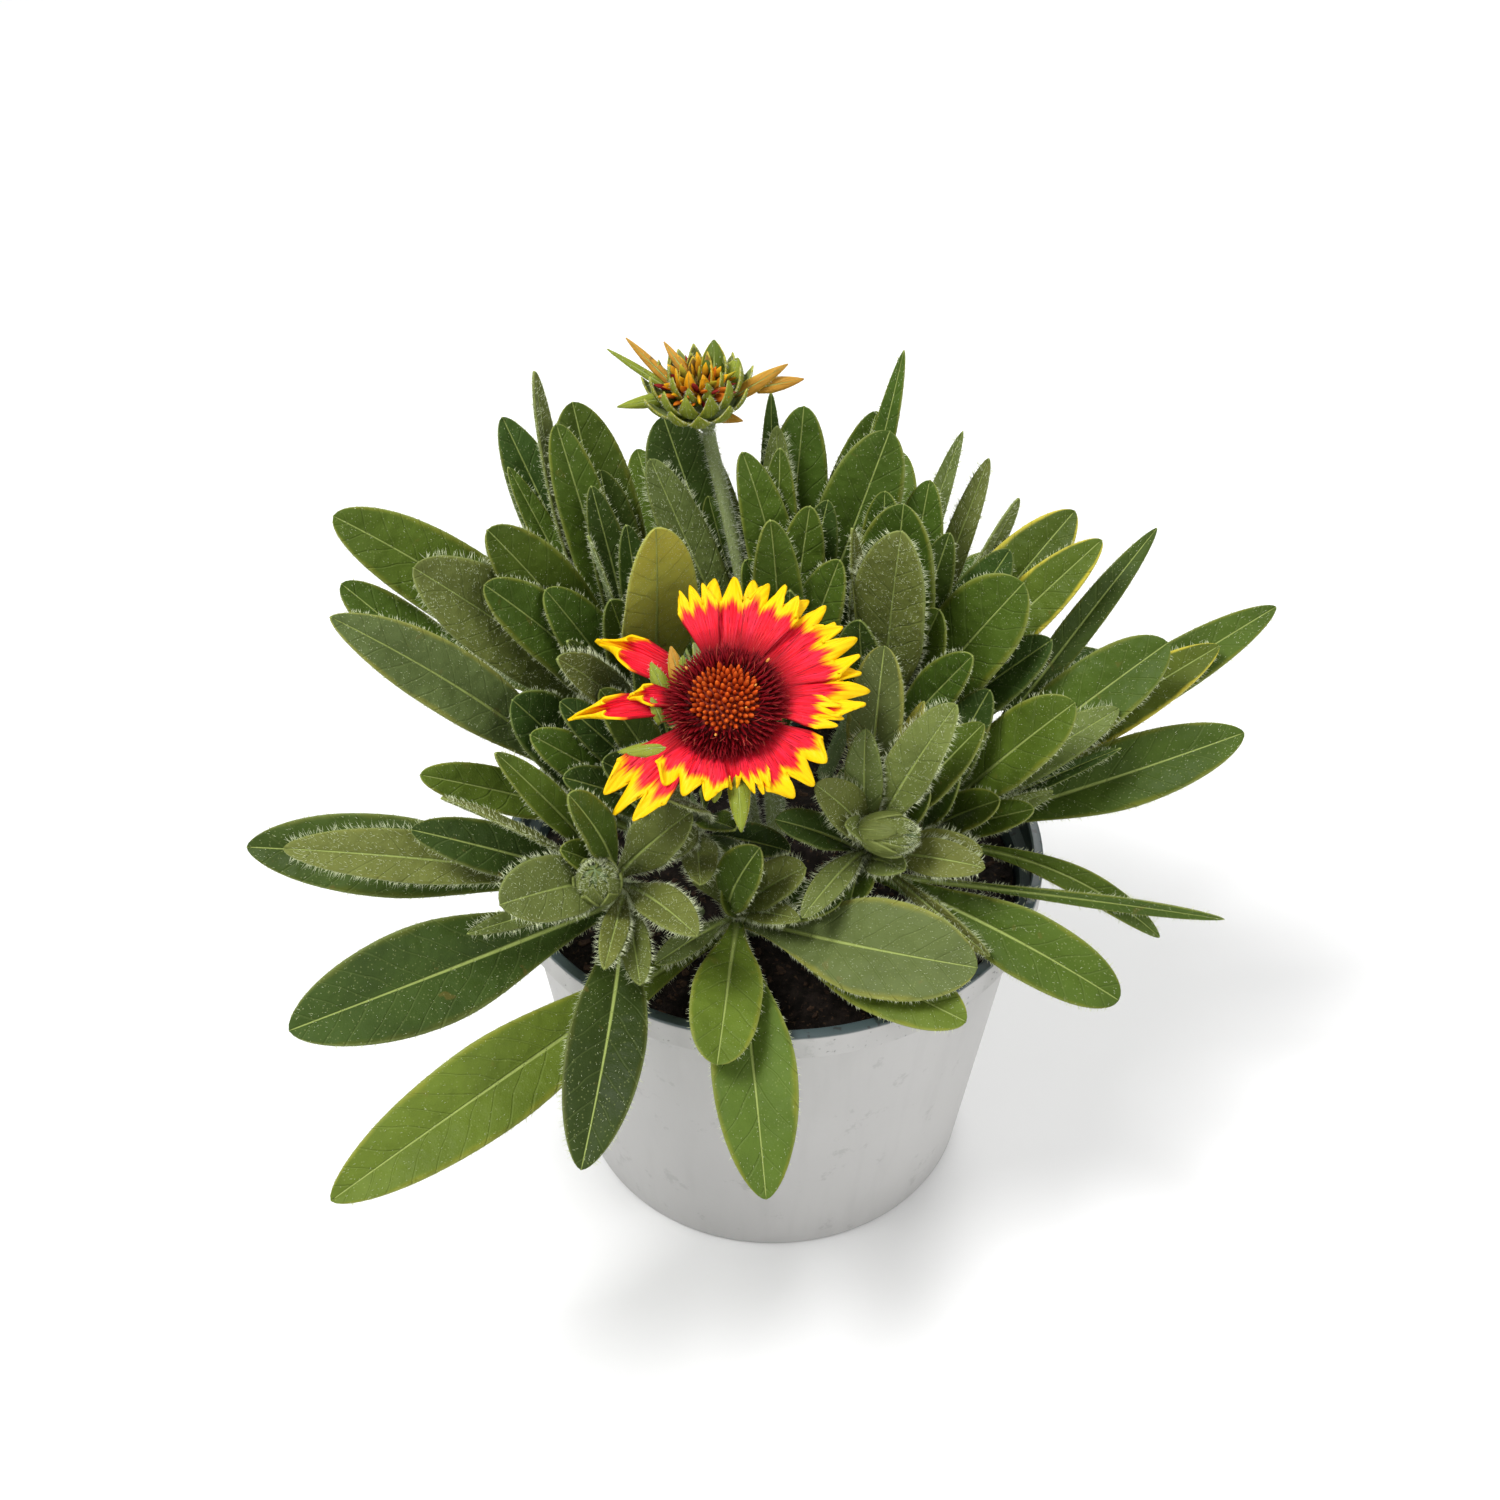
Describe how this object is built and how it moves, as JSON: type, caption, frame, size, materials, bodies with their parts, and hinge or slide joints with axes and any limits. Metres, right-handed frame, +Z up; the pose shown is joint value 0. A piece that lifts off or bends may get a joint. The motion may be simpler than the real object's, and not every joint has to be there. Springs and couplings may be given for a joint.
{
  "type": "blanket flower plant",
  "caption": "Blanket flower plant in a round grey nursery pot, with hairy green leaves, a red and yellow open flower and an opening bud behind it.",
  "frame": {"origin": "centre of the pot's underside, on the surface it stands on", "axes": "+Z up along the pot's axis; -Y towards the viewer, the side the open flower leans and looks to; +X to the viewer's right"},
  "size_m": [0.2348, 0.2061, 0.203],
  "materials": {
    "pot_plastic": "light warm grey, slightly worn, dark slate inside",
    "potting_mix": "near-black brown peat with bark bits",
    "leaf_green": "matt green with short pale hairs and pale midribs",
    "stem_green": "light green, hairy",
    "ray_petals": "crimson with yellow ends, satin",
    "disc_florets": "maroon with an orange-brown middle",
    "bud_florets": "yellow and orange"
  },
  "bodies": {
    "root": {"pot": "pot_plastic", "potting_mix": "potting_mix", "flower_stem": "stem_green", "ray_petals": "ray_petals", "flower_disc": "disc_florets", "bud_stem": "stem_green", "bud_florets": "bud_florets", "shoot_left": "leaf_green", "shoot_front_left": "leaf_green", "shoot_front": "leaf_green", "shoot_front_right": "leaf_green", "shoot_centre": "leaf_green", "shoot_right": "leaf_green", "shoot_back_left": "leaf_green", "shoot_back": "leaf_green", "shoot_back_right": "leaf_green", "shoot_rear": "leaf_green", "shoot_rear_right": "leaf_green"}
  },
  "joints": []
}
